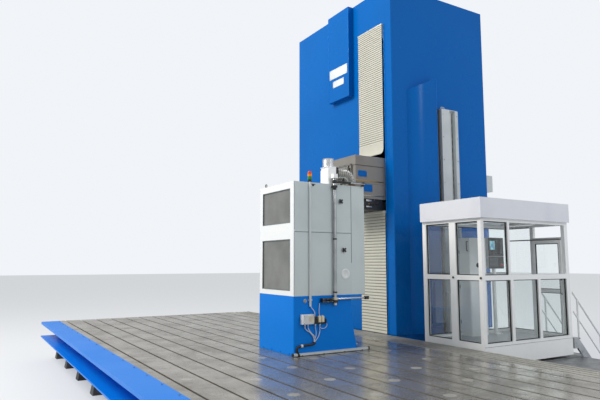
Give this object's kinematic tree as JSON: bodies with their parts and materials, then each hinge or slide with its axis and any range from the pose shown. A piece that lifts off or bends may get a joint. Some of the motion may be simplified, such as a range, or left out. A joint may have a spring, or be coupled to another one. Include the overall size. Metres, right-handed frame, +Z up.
{
  "type": "floor-type boring mill",
  "caption": "Travelling-column boring and milling machine with a ram headstock, an operator cabin, a clamping floor and a pick-up station for milling heads.",
  "frame": {"origin": "underside of the levelling shoe at the centre of the bed, on the foundation", "axes": "+Z up, +X along the bed (the column's travel, towards the cabin's side), -Y from the spindle out over the clamping floor"},
  "size_m": [13.3124, 10.1864, 9.2],
  "materials": {
    "bed_blue": "gloss enamel",
    "column_blue": "gloss enamel",
    "casting_grey": "painted casting",
    "ground_steel": "ground",
    "plate_iron": "planed and worn",
    "foundation_iron": "as cast",
    "slat_steel": "rolled",
    "cover_steel": "brushed",
    "white_paint": "powder coat",
    "station_grey": "powder coat",
    "cabin_alu": "white powder coat",
    "clear_glass": "clear",
    "window_grey": "dark",
    "rail_grey": "satin paint",
    "motor_grey": "satin paint",
    "panel_grey": "textured",
    "stop_red": "gloss",
    "tower_plastic": "translucent",
    "duct_white": "ribbed",
    "stair_grey": "galvanised",
    "valve_black": "satin paint"
  },
  "bodies": {
    "machine_base": {"bed": "bed_blue", "bed_guideways": "ground_steel", "bed_rack": "ground_steel", "bed_shoes": "foundation_iron", "floor_plates_front": "plate_iron", "floor_plates_middle": "plate_iron", "floor_plates_rear": "plate_iron", "plate_pedestals": "foundation_iron", "edge_channel": "bed_blue", "gutter_grating": "slat_steel", "bed_covers": "cover_steel", "station_base": "bed_blue", "station_cabinet": "station_grey", "station_windows": "window_grey", "shaft_bearings": "valve_black", "door_drive": "white_paint", "signal_tower": "tower_plastic", "station_duct": "duct_white", "station_shelves": "station_grey", "milling_heads": "casting_grey", "station_conduits": "rail_grey", "station_controls": "valve_black"},
    "column_carriage": {"saddle": "bed_blue", "x_drive_gearbox": "motor_grey", "saddle_covers": "cover_steel", "column_frame": "column_blue", "headstock_ways": "ground_steel", "vertical_screw": "ground_steel", "column_front_wall": "column_blue", "column_walls": "column_blue", "column_roof": "column_blue", "front_box": "column_blue", "side_fairing": "column_blue", "cabin_rail": "rail_grey", "rear_riser": "rail_grey", "upper_apron": "slat_steel", "lower_apron": "slat_steel", "apron_box": "slat_steel", "stairs": "stair_grey", "stair_handrails": "stair_grey"},
    "left_cover_1": {"left_cover_1": "cover_steel"},
    "left_cover_2": {"left_cover_2": "cover_steel"},
    "right_cover_1": {"right_cover_1": "cover_steel"},
    "drive_pinion": {"drive_pinion": "ground_steel"},
    "headstock": {"headstock_housing": "casting_grey", "headstock_tray": "valve_black", "spindle_motor": "motor_grey"},
    "ram": {"ram": "ground_steel"},
    "milling_spindle": {"milling_spindle": "ground_steel"},
    "boring_spindle": {"boring_spindle": "ground_steel"},
    "cabin": {"cabin_platform": "white_paint", "cabin_frame": "cabin_alu", "cabin_glass": "clear_glass", "cabin_roof": "cabin_alu", "cabin_console": "panel_grey"},
    "cabin_door": {"cabin_door": "cabin_alu"},
    "control_panel": {"cnc_panel": "panel_grey"},
    "emergency_stop": {"emergency_stop": "stop_red"},
    "station_door": {"station_door": "station_grey", "door_arms": "valve_black"}
  },
  "joints": [
    {"name": "column_travel", "type": "slide", "parent": "machine_base", "child": "column_carriage", "axis": [1, 0, 0], "range_m": [-1.3, 3.3]},
    {"name": "drive_pinion_spin", "type": "hinge", "parent": "column_carriage", "child": "drive_pinion", "pos_m": [-1.4, -0.52, 0.4], "axis": [0, 0, 1], "range_deg": [-1400, 560]},
    {"name": "left_cover_1_slide", "type": "slide", "parent": "machine_base", "child": "left_cover_1", "axis": [1, 0, 0], "range_m": [-0.9, 2.25]},
    {"name": "left_cover_2_slide", "type": "slide", "parent": "machine_base", "child": "left_cover_2", "axis": [1, 0, 0], "range_m": [-0.45, 1.15]},
    {"name": "right_cover_1_slide", "type": "slide", "parent": "machine_base", "child": "right_cover_1", "axis": [1, 0, 0], "range_m": [-0.7, 1.7]},
    {"name": "headstock_travel", "type": "slide", "parent": "column_carriage", "child": "headstock", "axis": [0, 0, 1], "range_m": [-2.2, 2.9], "deforming": ["upper_apron", "lower_apron"]},
    {"name": "ram_travel", "type": "slide", "parent": "headstock", "child": "ram", "axis": [0, -1, 0], "range_m": [0, 1.2]},
    {"name": "milling_spindle_spin", "type": "hinge", "parent": "ram", "child": "milling_spindle", "pos_m": [-0.065, -2, 4.52], "axis": [0, -1, 0], "continuous": true},
    {"name": "boring_spindle_travel", "type": "slide", "parent": "milling_spindle", "child": "boring_spindle", "axis": [0, -1, 0], "range_m": [0, 0.7]},
    {"name": "cabin_lift", "type": "slide", "parent": "column_carriage", "child": "cabin", "axis": [0, 0, 1], "range_m": [0, 2.4]},
    {"name": "cabin_door_slide", "type": "slide", "parent": "cabin", "child": "cabin_door", "axis": [-1, 0, 0], "range_m": [0, 0.69]},
    {"name": "control_panel_swivel", "type": "hinge", "parent": "cabin", "child": "control_panel", "pos_m": [1.82, 0.272, 2.4], "axis": [0, 0, 1], "range_deg": [-60, 45]},
    {"name": "emergency_stop_press", "type": "slide", "parent": "control_panel", "child": "emergency_stop", "axis": [-1, 0, 0], "range_m": [0, 0.006], "stiffness_N_per_m": 1500, "springref_m": -0.002},
    {"name": "station_door_swing", "type": "hinge", "parent": "machine_base", "child": "station_door", "pos_m": [1.905, -4.105, 3], "axis": [0, 0, -1], "range_deg": [0, 95]}
  ],
  "couplings": [
    {"joint": "drive_pinion_spin", "follows": "column_travel", "rad_per_m": -7.1429},
    {"joint": "left_cover_1_slide", "follows": "column_travel", "ratio": 0.66667},
    {"joint": "left_cover_2_slide", "follows": "column_travel", "ratio": 0.33333},
    {"joint": "right_cover_1_slide", "follows": "column_travel", "ratio": 0.5}
  ]
}
